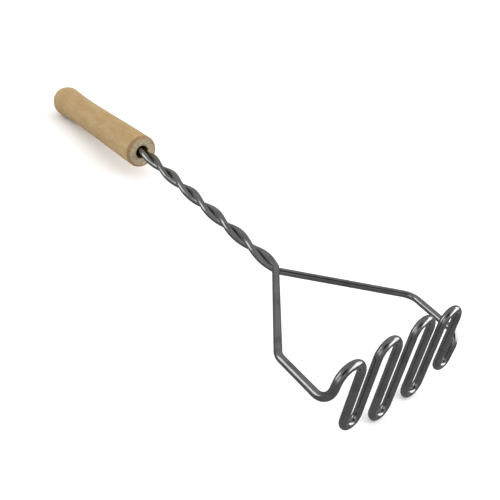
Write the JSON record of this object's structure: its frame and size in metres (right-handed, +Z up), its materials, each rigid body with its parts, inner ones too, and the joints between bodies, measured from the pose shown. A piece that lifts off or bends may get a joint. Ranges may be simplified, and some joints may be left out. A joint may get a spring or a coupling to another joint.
{
  "type": "wire masher",
  "caption": "Hand masher: one bent wire forms a zigzag mashing grid, two spreading arms and a twisted shank set in a turned wooden handle.",
  "frame": {"origin": "centre of the part's box, at the bottom: the table that the masher lies on is Z = 0", "axes": "+X along the shank from the mashing grid to the handle, +Z up from the table, +Y towards the left arm. The masher lies on its side on two loops of the grid and the end of the handle."},
  "size_m": [0.3678, 0.1158, 0.0531],
  "materials": {
    "steel_wire": "bright drawn wire, polished, with fine draw lines and light handling marks",
    "handle_wood": "turned pale hardwood, sanded and lightly oiled, with open end grain at the bore"
  },
  "bodies": {
    "root": {"mashing_grid": "steel_wire", "left_arm": "steel_wire", "right_arm": "steel_wire", "left_strand": "steel_wire", "right_strand": "steel_wire", "handle": "handle_wood"}
  },
  "joints": []
}
